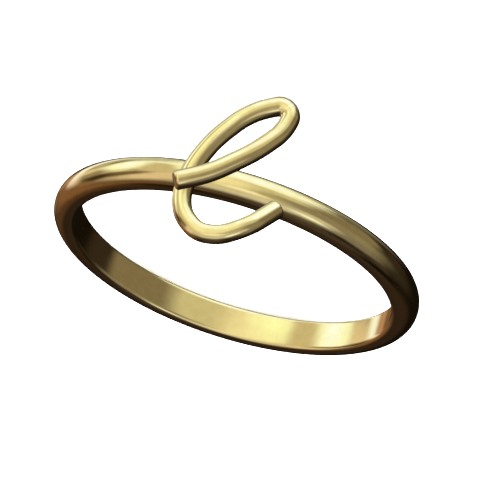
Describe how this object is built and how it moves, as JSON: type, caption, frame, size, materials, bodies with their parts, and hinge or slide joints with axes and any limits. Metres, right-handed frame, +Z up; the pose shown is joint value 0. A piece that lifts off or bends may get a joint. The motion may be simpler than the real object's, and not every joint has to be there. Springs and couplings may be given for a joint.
{
  "type": "wire initial ring",
  "caption": "Gold finger ring: a slim half-round band with a script letter bent from round wire soldered across its front.",
  "frame": {"origin": "on the floor, under the middle of the ring as it lies", "axes": "+Z up from the floor that the ring lies on, -Y to the front, where the letter is, +X to the right"},
  "size_m": [0.0199, 0.0212, 0.0089],
  "materials": {
    "gold": "polished yellow gold"
  },
  "bodies": {
    "root": {"wire_initial_ring": "gold"}
  },
  "joints": []
}
